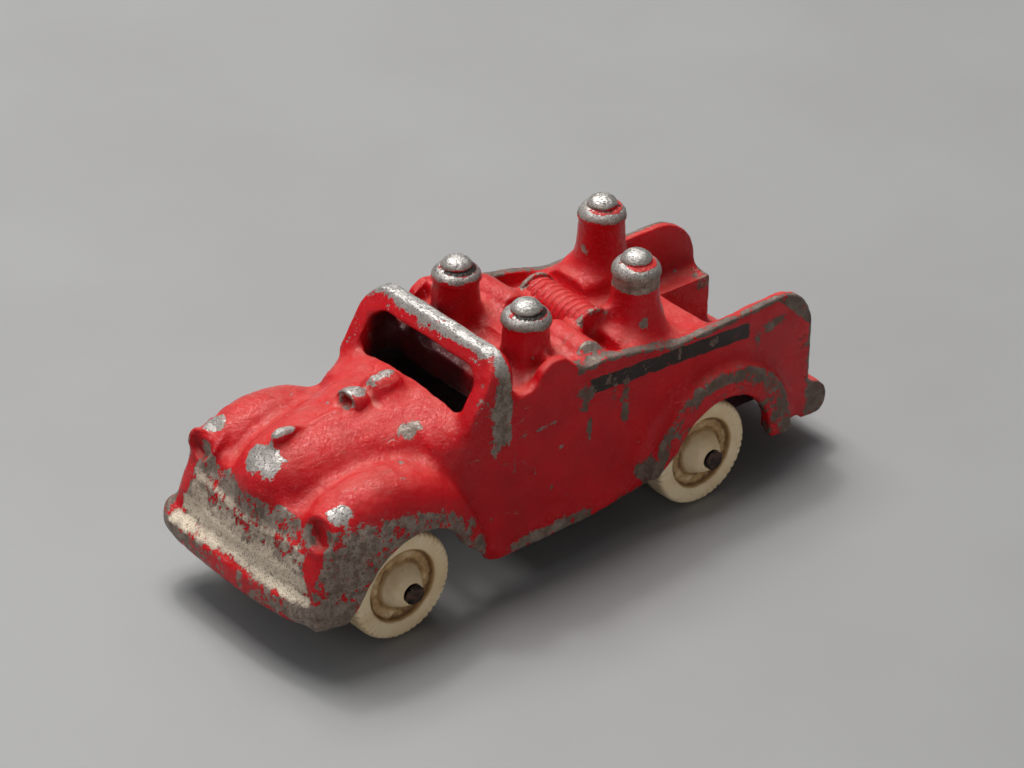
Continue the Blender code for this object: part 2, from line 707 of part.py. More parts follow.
def wheel(name, x, side):
    """A one-piece moulded rubber wheel: rounded tread, dished face and a domed hub."""
    bore = AXLE_RADIUS + RUNNING_GAP
    inner_y, outer_y = WHEEL_OUTER_Y - WHEEL_WIDTH, WHEEL_OUTER_Y
    section = (
        (inner_y - 0.6, bore),
        (inner_y - 0.6, 3.2),
        (inner_y, 3.6),
        (inner_y, WHEEL_RADIUS - 1.2),
        (inner_y + 0.5, WHEEL_RADIUS - 0.4),
        (inner_y + 1.4, WHEEL_RADIUS),
        (outer_y - 0.8, WHEEL_RADIUS),
        (outer_y - 0.25, WHEEL_RADIUS - 0.15),
        (outer_y, WHEEL_RADIUS - 0.6),
        (outer_y, WHEEL_RADIUS - 1.6),
        (outer_y - 0.3, HUB_RECESS_RADIUS + 0.3),
        (outer_y - 1.3, HUB_RECESS_RADIUS - 0.2),
        (outer_y - 1.5, 4.6),
        (outer_y - 1.0, 3.9),
        (outer_y + 0.4, 3.3),
        (outer_y + 1.5, 2.6),
        (outer_y + 2.0, 2.0),
        (outer_y + 2.1, bore),
    )
    bm = bmesh.new()
    count = 40
    loops = []
    for along, radius in section:
        loops.append([bm.verts.new((b, side * along, a)) for a, b in circle(radius, count)])
    for near, far in zip(loops, loops[1:] + loops[:1]):
        for i in range(count):
            j = (i + 1) % count
            bm.faces.new((near[i], near[j], far[j], far[i]))
    disc = new_object(name, bm)
    disc.location = (x * MM, 0, WHEEL_RADIUS * MM)
    disc.data.shade_smooth()
    disc.data.set_sharp_from_angle(angle=math.radians(35))
    disc.data.materials.append(paint(name + "_rubber", (0.62, 0.5, 0.32), 0.6, 0.0))
    return disc


def main():
    for obj in list(bpy.data.objects):
        bpy.data.objects.remove(obj)
    body_casting()
    for x, end in ((FRONT_AXLE_X, "front"), (REAR_AXLE_X, "rear")):
        axle(end + "_axle", x)
        for side, hand in ((1, "left"), (-1, "right")):
            wheel(end + "_" + hand + "_wheel", x, side)


main()
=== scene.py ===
"""Looks for the cast-metal toy fire engine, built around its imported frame.

Lengths are millimetres unless a name says otherwise, and MM turns them into metres.
+X is the front, +Y the toy's left side, +Z up.
"""
import math

import bmesh
import bpy
import numpy as np
from mathutils import Matrix, Vector, noise
from mathutils.bvhtree import BVHTree


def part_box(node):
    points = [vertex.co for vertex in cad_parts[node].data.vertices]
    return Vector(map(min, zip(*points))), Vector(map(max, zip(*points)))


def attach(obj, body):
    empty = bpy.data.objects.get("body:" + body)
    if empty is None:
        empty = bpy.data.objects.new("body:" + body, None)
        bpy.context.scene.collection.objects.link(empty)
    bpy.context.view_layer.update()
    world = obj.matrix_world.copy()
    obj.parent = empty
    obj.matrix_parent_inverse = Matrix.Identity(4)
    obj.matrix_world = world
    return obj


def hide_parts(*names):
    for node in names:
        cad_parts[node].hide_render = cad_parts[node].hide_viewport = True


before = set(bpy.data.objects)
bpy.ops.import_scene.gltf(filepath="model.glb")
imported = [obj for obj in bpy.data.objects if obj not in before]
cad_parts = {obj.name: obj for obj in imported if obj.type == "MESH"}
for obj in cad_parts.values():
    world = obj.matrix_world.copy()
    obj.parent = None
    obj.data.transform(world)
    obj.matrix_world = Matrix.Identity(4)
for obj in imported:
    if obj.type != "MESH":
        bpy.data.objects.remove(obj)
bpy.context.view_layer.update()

MM = 0.001

# Casting
VOXEL = 0.42
SOFTEN_ROUNDS = 6
CLOSING = 0.8
FILLET_ROUNDS = 14
LAMP_ROUNDS = 22
CURVATURE_ROUNDS = 12
FRONT_ARCH_X = 35.6
FRONT_ARCH_Z = 9.4
REAR_ARCH_X = -30.3
REAR_ARCH_Z = 8.0
REAR_ARCH_RADIUS = 10.9
FLANGE_WIDTH = 5.1

# Places of the small castings: helmets as x, y and top z; the rest as centres
HELMETS = ((4.9, 8.8, 46.0), (4.9, -8.8, 46.0), (-18.6, 8.5, 46.7), (-26.0, -8.5, 47.0))
SIREN = (33.6, 0.0, 32.7)
LAMP = (27.6, 0.0, 33.4)
MASCOT = (46.0, 0.0, 32.4)
HEADLIGHTS = ((51.0, 16.1, 24.3), (51.0, -14.9, 25.2))
REEL = (-10.6, 0.0, 33.8)
REEL_HALF = 7.6
REEL_RIBS = 10

# Camera, on the line of sight that shows the nose and the left side
CAMERA_AZIMUTH = math.radians(139.42)
CAMERA_ELEVATION = math.radians(31.53)
CAMERA_ROLL = math.radians(1.4077)
CAMERA_TARGET = Vector((3.7, 4.3, 27.7))
CAMERA_DISTANCE = 643.0
CAMERA_LENS = 139.85
SENSOR_WIDTH = 36.0

# Stage, in metres: each light's name, place, target, size, watts and colour
FLOOR_HALF = 2.5
LIGHTS = (
    ("spark", (-0.10, -0.40, 0.90), (0, 0, 0.02), (0.10, 0.10), 2.0, (1.0, 0.99, 0.97)),
    ("key", (-0.05, -0.36, 0.93), (0, 0, 0.02), (0.62, 0.62), 10.9, (1.0, 0.985, 0.965)),
    ("front", (0.80, -0.20, 0.50), (0, 0, 0.02), (0.5, 0.4), 1.5, (0.97, 0.985, 1.0)),
    ("side", (0.20, 1.30, 0.18), (0, 0, 0.03), (1.2, 0.25), 3.0, (1.0, 0.97, 0.95)),
    ("ceiling", (0, -0.45, 1.05), (0, 0, 0), (2.0, 1.6), 4.2, (0.97, 0.985, 1.0)),
)
WORLD_COLOUR = (0.96, 0.98, 1.0, 1)
WORLD_STRENGTH = 0.10


# ---------------------------------------------------------------- small helpers


def link(obj):
    bpy.context.scene.collection.objects.link(obj)
    return obj


def ramp(values, low, high):
    """0 below low, 1 above high, smooth between."""
    share = np.clip((values - low) / (high - low), 0.0, 1.0)
    return share * share * (3.0 - 2.0 * share)


def blob(points, centre, radii):
    """1 in the middle of an ellipsoid, 0 outside it."""
    offset = (points - np.array(centre)) / np.array(radii)
    return np.clip(1.0 - np.linalg.norm(offset, axis=1), 0.0, 1.0)


def patch(points, centre, radii):
    """A worn patch: half strength on the ellipsoid, so that noise makes its edge ragged."""
    offset = (points - np.array(centre)) / np.array(radii)
    return np.clip(1.0 - 0.5 * np.linalg.norm(offset, axis=1) ** 2, 0.0, 1.0)


def band(values, low, high, soft):
    """1 between low and high, with soft edges."""
    return ramp(values, low - soft, low + soft) * (1.0 - ramp(values, high - soft, high + soft))


def field(points, size, octaves=3, seed=0.0):
    """Fractal noise of about -1 to 1 at each point; size is the length of its largest features."""
    shift = Vector((seed, seed * 1.7, seed * 0.6))
    values = [noise.fractal(Vector(p) / size + shift, 0.9, 2.0, octaves) for p in points]
    return np.array(values)


# ---------------------------------------------------------------- mesh with numpy arrays


class Skin:
    """A mesh as arrays of points in millimetres, with what smoothing needs."""

    def __init__(self, mesh):
        self.mesh = mesh
        count = len(mesh.vertices)
        flat = np.zeros(count * 3)
        mesh.vertices.foreach_get("co", flat)
        self.points = flat.reshape(-1, 3) / MM
        pairs = np.zeros(len(mesh.edges) * 2, dtype=np.int64)
        mesh.edges.foreach_get("vertices", pairs)
        self.pairs = pairs.reshape(-1, 2)
        self.degree = np.bincount(self.pairs.ravel(), minlength=count)[:, None]

    def averaged(self, values):
        """Each point's value replaced by the mean of its neighbours' values."""
        near, far = self.pairs[:, 0], self.pairs[:, 1]
        columns = []
        for column in values.T:
            total = np.bincount(near, column[far], len(column)) + np.bincount(far, column[near], len(column))
            columns.append(total)
        return np.stack(columns, axis=1) / self.degree

    def soften(self, rounds, weight):
        """Moves points towards their neighbours' middle, by weight."""
        for _ in range(rounds):
            self.points += weight * (self.averaged(self.points) - self.points)

    def normals(self):
        self.write()
        flat = np.zeros(len(self.points) * 3)
        self.mesh.vertices.foreach_get("normal", flat)
        return flat.reshape(-1, 3)

    def curvature(self, rounds):
        """How far each point stands out of its neighbourhood, in millimetres: positive on crests."""
        smooth = self.points.copy()
        for _ in range(rounds):
            smooth += 0.6 * (self.averaged(smooth) - smooth)
        return np.einsum("ij,ij->i", self.points - smooth, self.normals())

    def write(self):
        self.mesh.vertices.foreach_set("co", (self.points * MM).ravel())
        self.mesh.update()

    def mark(self, name, values):
        """Stores one number per point for the material to read."""
        attribute = self.mesh.attributes.new(name, "FLOAT", "POINT")
        attribute.data.foreach_set("value", np.asarray(values, dtype=np.float32))


def welded(node, name):
    """A CAD node's shape as a new object, with its split corners joined."""
    bm = bmesh.new()
    bm.from_mesh(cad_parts[node].data)
    bmesh.ops.remove_doubles(bm, verts=bm.verts, dist=0.001 * MM)
    mesh = bpy.data.meshes.new(name)
    bm.to_mesh(mesh)
    bm.free()
    return link(bpy.data.objects.new(name, mesh))


def voxelled(obj, size):
    """Gives obj an even mesh of small quads over the same shape."""
    modifier = obj.modifiers.new("voxels", "REMESH")
    modifier.mode = "VOXEL"
    modifier.voxel_size = size * MM
    depsgraph = bpy.context.evaluated_depsgraph_get()
    mesh = bpy.data.meshes.new_from_object(obj.evaluated_get(depsgraph))
    obj.modifiers.clear()
    obj.data = mesh
    return obj


def looped_mesh(name, loops, closed=False):
    """A mesh through loops of points in millimetres, capped at both ends unless it closes on itself."""
    bm = bmesh.new()
    rings = [[bm.verts.new(Vector(point) * MM) for point in loop] for loop in loops]
    following = rings[1:] + (rings[:1] if closed else [])
    for near, far in zip(rings, following):
        for i in range(len(near)):
            j = (i + 1) % len(near)
            bm.faces.new((near[i], near[j], far[j], far[i]))
    if not closed:
        bm.faces.new(rings[0])
        bm.faces.new(rings[-1])
    bmesh.ops.recalc_face_normals(bm, faces=bm.faces)
    mesh = bpy.data.meshes.new(name)
    bm.to_mesh(mesh)
    bm.free()
    return mesh


def between(before, start, end, after, t):
    """A point between start and end on the smooth curve through all four."""
    return 0.5 * (2 * start + (end - before) * t + (2 * before - 5 * start + 4 * end - after) * t**2
                  + (3 * start - before - 3 * end + after) * t**3)


# ---------------------------------------------------------------- material building


class Shader:
    """Builds a node material in a few words."""

    def __init__(self, name):
        self.material = bpy.data.materials.new(name)
        self.material.use_nodes = True
        self.tree = self.material.node_tree
        self.surface = self.tree.nodes["Principled BSDF"]
        self.place = self.node("ShaderNodeTexCoord").outputs["Object"]

    def node(self, kind, **settings):
        made = self.tree.nodes.new(kind)
        for key, value in settings.items():
            setattr(made, key, value)
        return made

    def feed(self, socket, value):
        if isinstance(value, bpy.types.NodeSocket):
            self.tree.links.new(value, socket)
        elif isinstance(value, tuple):
            socket.default_value = (*value, 1.0) if len(socket.default_value) > len(value) else value
        else:
            socket.default_value = value

    def math(self, operation, a, b=0.0, clamp=False):
        made = self.node("ShaderNodeMath", operation=operation, use_clamp=clamp)
        self.feed(made.inputs[0], a)
        self.feed(made.inputs[1], b)
        return made.outputs[0]

    def noise(self, size, detail=4.0, roughness=0.6, stretch=None, distortion=0.0):
        """Noise of 0 to 1 with features of about size millimetres."""
        made = self.node("ShaderNodeTexNoise")
        self.feed(made.inputs["Vector"], self.stretched(stretch))
        made.inputs["Scale"].default_value = 1.0 / (size * MM)
        made.inputs["Detail"].default_value = detail
        made.inputs["Roughness"].default_value = roughness
        made.inputs["Distortion"].default_value = distortion
        return made.outputs["Fac"]

    def stretched(self, stretch):
        """Object coordinates, squeezed by a factor on each axis."""
        if stretch is None:
            return self.place
        mapping = self.node("ShaderNodeMapping")
        self.feed(mapping.inputs["Vector"], self.place)
        mapping.inputs["Scale"].default_value = stretch
        return mapping.outputs["Vector"]

    def cells(self, size, output="Distance"):
        made = self.node("ShaderNodeTexVoronoi")
        self.feed(made.inputs["Vector"], self.place)
        made.inputs["Scale"].default_value = 1.0 / (size * MM)
        return made.outputs[output]

    def mark(self, name):
        return self.node("ShaderNodeAttribute", attribute_name=name).outputs["Fac"]

    def step(self, value, low, high, to_low=0.0, to_high=1.0):
        made = self.node("ShaderNodeMapRange", interpolation_type="SMOOTHSTEP")
        self.feed(made.inputs["Value"], value)
        for socket, number in zip(made.inputs[1:5], (low, high, to_low, to_high)):
            socket.default_value = number
        return made.outputs["Result"]

    def mix(self, share, a, b):
        """Colour a where share is 0, b where it is 1."""
        made = self.node("ShaderNodeMix", data_type="RGBA")
        self.feed(made.inputs[0], share)
        self.feed(made.inputs[6], a)
        self.feed(made.inputs[7], b)
        return made.outputs[2]

    def blend(self, share, a, b):
        """Number a where share is 0, b where it is 1."""
        made = self.node("ShaderNodeMix", data_type="FLOAT")
        self.feed(made.inputs[0], share)
        self.feed(made.inputs[2], a)
        self.feed(made.inputs[3], b)
        return made.outputs[0]

    def finish(self, height=None, depth=0.05, **sockets):
        """Links the Principled shader's inputs and a bump of depth millimetres."""
        for name, value in sockets.items():
            self.feed(self.surface.inputs[name.replace("_", " ")], value)
        if height is not None:
            bump = self.node("ShaderNodeBump")
            bump.inputs["Strength"].default_value = 1.0
            bump.inputs["Distance"].default_value = depth * MM
            self.feed(bump.inputs["Height"], height)
            self.feed(self.surface.inputs["Normal"], bump.outputs["Normal"])
        return self.material


# ---------------------------------------------------------------- materials


RED_DEEP = (0.46, 0.0004, 0.0045)
RED_BRIGHT = (0.60, 0.0010, 0.0070)
# Pale pink of dust and of a painted sheen on up-facing paint
RED_DUST_AND_SHEEN = (0.62, 0.155, 0.125)
METAL_LIGHT = (0.35, 0.285, 0.235)
METAL_DARK = (0.175, 0.122, 0.092)
METAL_PIT = (0.055, 0.038, 0.029)
METAL_TARNISHED = (0.115, 0.068, 0.050)
METAL_POLISHED = (0.56, 0.55, 0.53)
CREAM = (0.72, 0.61, 0.47)
FILLER_GREY = (0.50, 0.41, 0.32)
BLACK_PAINT = (0.020, 0.014, 0.010)
# Dark red-brown: grime for the specks, and painted shade in hollows
GRIME_AND_SHADE = (0.045, 0.012, 0.009)
# Painted shade: near-black reds for the hollow inside of the shell and the cab
INSIDE_SHADE_DARK = (0.020, 0.002, 0.003)
INSIDE_SHADE_RED = (0.055, 0.003, 0.004)
RUBBER_YELLOW = (0.70, 0.52, 0.30)
RUBBER_PALE = (0.80, 0.65, 0.43)
RUBBER_BROWN = (0.36, 0.205, 0.068)
RUBBER_DARK = (0.17, 0.085, 0.028)
RUBBER_SPECK = (0.12, 0.07, 0.04)
STEEL = (0.022, 0.017, 0.016)
RUST = (0.085, 0.036, 0.020)
FLOOR_DARK = (0.252, 0.252, 0.252)
FLOOR_LIGHT = (0.268, 0.269, 0.270)


def worn_paint():
    """Red enamel worn through to speckled grey metal, with filler residue, dark specks, painted shade in its
    hollows and inside the shell and cab, and black remnants.
    """
    s = Shader("worn_red_enamel")
    broad = s.math("MULTIPLY", s.noise(2.6, 4, 0.6), 0.48)
    fine = s.math("MULTIPLY", s.noise(0.9, 4, 0.65), 0.36)
    finest = s.math("MULTIPLY", s.noise(0.32, 2, 0.6), 0.16)
    rough_edge = s.math("ADD", s.math("ADD", broad, fine), finest)
    shaken = s.math("MULTIPLY", s.math("SUBTRACT", rough_edge, 0.5), 2.6)
    worn = s.step(s.math("ADD", s.mark("bare"), shaken), 0.49, 0.52)
    worn = s.math("MAXIMUM", worn, chips(s, 6.5, 0.62, 0.55, shaken))
    worn = s.math("MAXIMUM", worn, chips(s, 2.6, 0.72, 0.66, shaken))
    worn = s.math("MAXIMUM", worn, scratches(s))

    metal, pits, mottled = bare_metal(s)
    paint = enamel(s, shaken)
    colour = s.mix(worn, paint, metal)
    residue = s.step(s.math("ADD", s.mark("cream"), s.math("MULTIPLY", shaken, 0.8)), 0.46, 0.56)
    thin_filler = s.mix(s.math("MULTIPLY", mottled, 0.5), FILLER_GREY, METAL_DARK)
    filler = s.mix(s.step(s.mark("cream"), 0.45, 0.8), thin_filler, CREAM)
    colour = s.mix(residue, colour, s.mix(s.math("MULTIPLY", pits, 0.8), filler, METAL_DARK))
    tone = s.step(s.noise(9.0, 4, 0.55), 0.3, 0.7)
    # Painted shade inside the shell and the cab, where the inner mark is
    colour = s.mix(s.mark("inner"), colour, s.mix(tone, INSIDE_SHADE_DARK, INSIDE_SHADE_RED))

    bare = s.math("MULTIPLY", worn, s.math("SUBTRACT", 1.0, residue, True))
    glossy = s.blend(s.noise(2.0, 4, 0.6), 0.10, 0.30)
    dull = s.blend(s.mark("polish"), s.blend(mottled, 0.62, 0.46), s.blend(mottled, 0.46, 0.28))
    rough = s.blend(residue, s.blend(worn, glossy, dull), 0.85)
    relief = s.math("MULTIPLY", s.math("SUBTRACT", 1.0, worn), 0.70)
    relief = s.math("SUBTRACT", relief, s.math("MULTIPLY", pits, 0.40))
    relief = s.math("ADD", relief, s.math("MULTIPLY", s.noise(0.8, 5, 0.62, None, 0.8), 1.9))
    relief = s.math("ADD", relief, s.math("MULTIPLY", residue, 0.5))
    shine = s.math("MULTIPLY", bare, s.blend(s.mark("polish"), 0.40, 0.85))
    return s.finish(
        relief, 0.13, Base_Color=colour, Roughness=rough, Metallic=shine, Specular_IOR_Level=0.30,
    )


def chips(s, size, rare, reach, shaken):
    """Stray chips: the cores of the few cells whose own number is above rare."""
    core = s.math("MULTIPLY", s.math("SUBTRACT", s.cells(size, "Color"), rare), reach)
    edge = s.math("ADD", s.cells(size), s.math("MULTIPLY", shaken, 0.35))
    return s.math("MULTIPLY", s.step(s.math("SUBTRACT", core, edge), -0.01, 0.01), s.mark("outer"))


def scratches(s):
    """Thin level lines, where a broad noise lets them show."""
    lines = s.math("ABSOLUTE", s.math("SUBTRACT", s.noise(5.0, 2, 0.5, (0.16, 1.0, 1.4)), 0.5))
    few = s.math("MULTIPLY", s.step(s.noise(7.0, 2, 0.5), 0.58, 0.68), s.mark("outer"))
    return s.math("MULTIPLY", s.math("MULTIPLY", s.step(lines, 0.0, 0.005, 1.0, 0.0), few), 0.7)


def bare_metal(s):
    """The casting's grey metal, mottled and pitted; also its pits and mottle."""
    mottled = s.step(s.noise(1.7, 6, 0.72), 0.36, 0.64)
    pits = s.step(s.noise(0.28, 3, 0.6), 0.53, 0.64)
    metal = s.mix(mottled, METAL_DARK, METAL_LIGHT)
    brown = s.math("MULTIPLY", s.mark("tarnish"), s.step(s.noise(2.2, 4, 0.6), 0.25, 0.6, 0.45, 0.9))
    metal = s.mix(brown, metal, METAL_TARNISHED)
    metal = s.mix(s.math("MULTIPLY", s.mark("polish"), 0.75), metal, METAL_POLISHED)
    depth = s.math("MULTIPLY", pits, s.blend(s.mark("polish"), 0.45, 0.85))
    return s.mix(depth, metal, METAL_PIT), pits, mottled


def enamel(s, shaken):
    """The red paint: deeper in patches, dusty with a painted sheen on top, with painted shade in hollows,
    dark specks and black paint over it.
    """
    tone = s.step(s.noise(9.0, 4, 0.55), 0.3, 0.7)
    red = s.mix(tone, RED_DEEP, RED_BRIGHT)
    facing = s.node("ShaderNodeSeparateXYZ")
    s.feed(facing.inputs[0], s.node("ShaderNodeNewGeometry").outputs["Normal"])
    # Up-facing paint turns pale pink: dust and a painted sheen of the overhead light; dust also settles in
    # hollows that face up
    cloudy = s.step(s.noise(3.5, 5, 0.65), 0.25, 0.75, 0.35, 1.0)
    dust_and_sheen = s.math("MULTIPLY", s.step(facing.outputs["Z"], 0.5, 1.0), cloudy)
    settled = s.math("MULTIPLY", s.mark("hollow"), s.step(facing.outputs["Z"], 0.35, 0.9))
    dust_and_sheen = s.math("ADD", s.math("MULTIPLY", dust_and_sheen, 0.42), s.math("MULTIPLY", settled, 0.70), True)
    red = s.mix(dust_and_sheen, red, RED_DUST_AND_SHEEN)
    # Painted shade in hollows that face sideways or down
    crevice_shade = s.math("MULTIPLY", s.mark("hollow"), s.step(facing.outputs["Z"], 0.2, 0.7, 0.5, 0.0))
    red = s.mix(crevice_shade, red, GRIME_AND_SHADE)
    specks = s.step(s.noise(0.45, 2, 0.5), 0.70, 0.76)
    red = s.mix(s.math("MULTIPLY", specks, 0.5), red, GRIME_AND_SHADE)
    black = s.step(s.math("ADD", s.mark("black"), s.math("MULTIPLY", shaken, 0.50)), 0.46, 0.54)
    return s.mix(black, red, BLACK_PAINT)


def old_rubber():
    """Cream moulded rubber, yellowed, and darker brown in its notches, along its recess and on its inner
    face.
    """
    s = Shader("aged_cream_rubber")
    cloud = s.step(s.noise(5.0, 5, 0.6), 0.3, 0.7)
    colour = s.mix(cloud, RUBBER_YELLOW, RUBBER_PALE)
    uneven = s.math("MULTIPLY", s.math("SUBTRACT", s.noise(1.6, 5, 0.65), 0.5), 0.7)
    darkness = s.math("ADD", s.mark("rubber_darkening"), uneven)
    colour = s.mix(s.math("MULTIPLY", s.step(darkness, 0.15, 0.85), 0.9), colour, RUBBER_BROWN)
    colour = s.mix(s.step(darkness, 0.85, 1.35), colour, RUBBER_DARK)
    specks = s.step(s.noise(0.6, 3, 0.6), 0.69, 0.75)
    colour = s.mix(s.math("MULTIPLY", specks, 0.6), colour, RUBBER_SPECK)
    rough = s.blend(s.noise(1.5, 4), 0.45, 0.68)
    height = s.math("ADD", s.noise(0.6, 4, 0.6), s.math("MULTIPLY", s.noise(2.4, 3, 0.5), 0.8))
    return s.finish(height, 0.07, Base_Color=colour, Roughness=rough)


def dark_steel():
    """Oxidised steel rod, nearly black with brown rust."""
    s = Shader("oxidised_steel")
    rust = s.step(s.noise(0.9, 5, 0.65), 0.42, 0.68)
    colour = s.mix(rust, STEEL, RUST)
    rough = s.blend(rust, 0.38, 0.72)
    height = s.noise(0.4, 4, 0.6)
    return s.finish(height, 0.08, Base_Color=colour, Roughness=rough, Metallic=s.blend(rust, 0.75, 0.2))


def table_top():
    """Plain pale grey floor with a faint mottle."""
    s = Shader("pale_grey_floor")
    cloud = s.noise(60.0, 3, 0.5)
    colour = s.mix(s.step(cloud, 0.3, 0.7), FLOOR_DARK, FLOOR_LIGHT)
    return s.finish(s.noise(1.2, 3, 0.5), 0.02, Base_Color=colour, Roughness=0.55)


# ---------------------------------------------------------------- casting


def small_forms(points):
    """1 on the small castings that keep their edges: helmets, mascot, siren, lamp and reel."""
    x, y, z = points.T
    keep = np.zeros(len(points))
    for cx, cy, top in HELMETS:
        keep = np.maximum(keep, band(np.hypot(x - cx, y - cy), -1, 5.5, 0.5) * ramp(z, 40.5, 42.0))
    for centre, radii in (
        ((45.8, 0, 32.6), (5, 3, 3)),
        ((31.5, 0, 34.5), (8, 5, 4)),
        ((-10.6, 0, 35.0), (5.5, 11, 5)),
    ):
        keep = np.maximum(keep, ramp(blob(points, centre, radii), 0.1, 0.4))
    return keep


def carve_details(skin):
    """Grille bars, hood ridge, bumper groove and lip, headlight dishes, the siren's cleft, unevenness."""
    x, y, z = skin.points.T
    side = np.abs(y)
    normals = skin.normals()
    forward = ramp(normals[:, 0], 0.35, 0.7)
    grille = band(z, 17.2, 24.6, 0.9) * band(y, -13.2, 13.2, 0.6) * ramp(x, 51.5, 52.5) * forward
    bars = -0.24 * grille * (0.5 + 0.5 * np.cos(math.tau * y / 1.3))
    ridge = 0.30 * np.exp(-(y / 0.6) ** 2) * band(x, 25.0, 50.0, 1.0) * ramp(z, 29.0, 30.5)
    cross = 0.35 * grille * np.exp(-((z - 20.3) / 0.6) ** 2)
    front = ramp(x, 50.5, 52.5) * (1.0 - ramp(side, 16.6, 18.6))
    groove = -0.50 * front * np.exp(-((z - 14.9 + 0.05 * side) / 1.3) ** 2)
    lip = 0.22 * front * np.exp(-((z - 12.3) / 0.8) ** 2)
    lamps = np.zeros(len(x))
    for cx, cy, cz in HEADLIGHTS:
        reach = np.hypot(y - cy, z - cz)
        lamps += ramp(x, 46.5, 48.0) * ramp(normals[:, 0], -0.1, 0.4) * (
            0.42 * np.exp(-((reach - 3.0) / 0.55) ** 2) - 0.45 * (1.0 - ramp(reach, 1.9, 2.7)))
    cleft = -0.9 * np.exp(-((x - 30.5) / 0.8) ** 2) * ramp(z, 32.4, 34.0) * band(y, -4.0, 4.0, 0.5)
    uneven = 0.11 * field(skin.points, 4.0, 3, 3.1) + 0.055 * field(skin.points, 1.4, 3, 9.4)
    skin.points += normals * (bars + ridge + cross + groove + lip + lamps + cleft + uneven)[:, None]


def shrink_under_helmets(skin):
    """Draws the casting in below each helmet, so that the helmets' own shells cover it."""
    for cx, cy, top in HELMETS:
        offset = skin.points[:, :2] - (cx, cy)
        reach = np.linalg.norm(offset, axis=1)
        depth = top - skin.points[:, 2]
        room = np.interp(depth, HELMET_DEPTHS, HELMET_RADII) - HELMET_INSET
        tight = (reach < 6.0) & (depth < 3.4) & (reach > room)
        skin.points[tight, :2] = (cx, cy) + offset[tight] * (room / reach)[tight, None]
        skin.points[:, 2] = np.where((reach < 5.0) & (depth < 0.6), top - 0.6, skin.points[:, 2])


# Worn patches of the front: centre, radii and strength
FRONT_PATCHES = (
    ((50.6, 0.2, 29.4), (3.0, 3.7, 2.9), 1.15),
    ((47.2, 0.2, 33.3), (2.6, 1.2, 0.9), 1.0),
    ((31.8, 0.0, 35.6), (3.0, 2.6, 0.9), 0.95),
    ((34.3, 0.0, 33.9), (0.7, 3.2, 2.2), 0.85),
    ((27.0, 0.0, 36.5), (2.6, 1.9, 0.8), 0.90),
    ((48.9, 17.2, 27.2), (2.3, 2.2, 1.4), 1.05),
    ((48.6, -15.6, 27.8), (2.3, 2.2, 1.2), 1.0),
    ((51.4, -14.4, 24.9), (1.8, 1.7, 1.9), 0.95),
    ((51.0, 17.4, 24.2), (1.6, 0.9, 2.0), 0.72),
    ((29.2, 9.7, 31.4), (2.2, 1.7, 1.6), 0.85),
    ((39.0, 17.0, 28.4), (1.2, 0.8, 0.8), 0.75),
    ((36.4, 16.6, 28.8), (0.8, 0.9, 0.8), 0.75),
    ((40.0, -9.5, 30.2), (5.0, 0.7, 1.0), 0.72),
    ((34.0, -13.0, 30.0), (2.4, 1.2, 1.2), 0.70),
)


def patched(bare, points, patches):
    """bare with patches laid over it."""
    for centre, radii, strength in patches:
        bare = np.maximum(bare, strength * patch(points, centre, radii))
    return bare


def crown_wear(points):
    """Bare metal on the nose, mascot, siren, lamp, headlights, hood and fender tops."""
    return patched(np.zeros(len(points)), points, FRONT_PATCHES)


# Where each helmet's bare metal starts, and how black the line round its dome is
HELMET_WEAR = ((42.3, 1.0), (43.0, 1.0), (40.6, 0.0), (43.6, 0.6))


def helmet_wear(points):
    """Bare domes and brims, with the ragged bare head of the left rear figure; also their black lines."""
    x, y, z = points.T
    bare, black = np.zeros(len(points)), np.zeros(len(points))
    for (cx, cy, top), (low, inked) in zip(HELMETS, HELMET_WEAR):
        reach = band(np.hypot(x - cx, y - cy), -1, 5.0, 0.4)
        bare = np.maximum(bare, reach * ramp(z, low - 0.9, low + 0.7))
        facing_left = 0.55 + 0.45 * np.sin(np.arctan2(y - cy, x - cx))
        seam = np.exp(-((z - (top - 1.75)) / 0.42) ** 2) * reach * facing_left
        bare -= 0.85 * seam
        black = np.maximum(black, 0.95 * inked * seam)
    return bare, black


# How far the bare metal reaches from the front arch's centre, from the door forwards
WORN_RIM_X = (17.7, 21.9, 27.4, 34.5, 41.2, 47.3, 52.0)
WORN_RIM_REACH = (17.5, 14.9, 14.1, 14.8, 17.0, 20.3, 23.5)


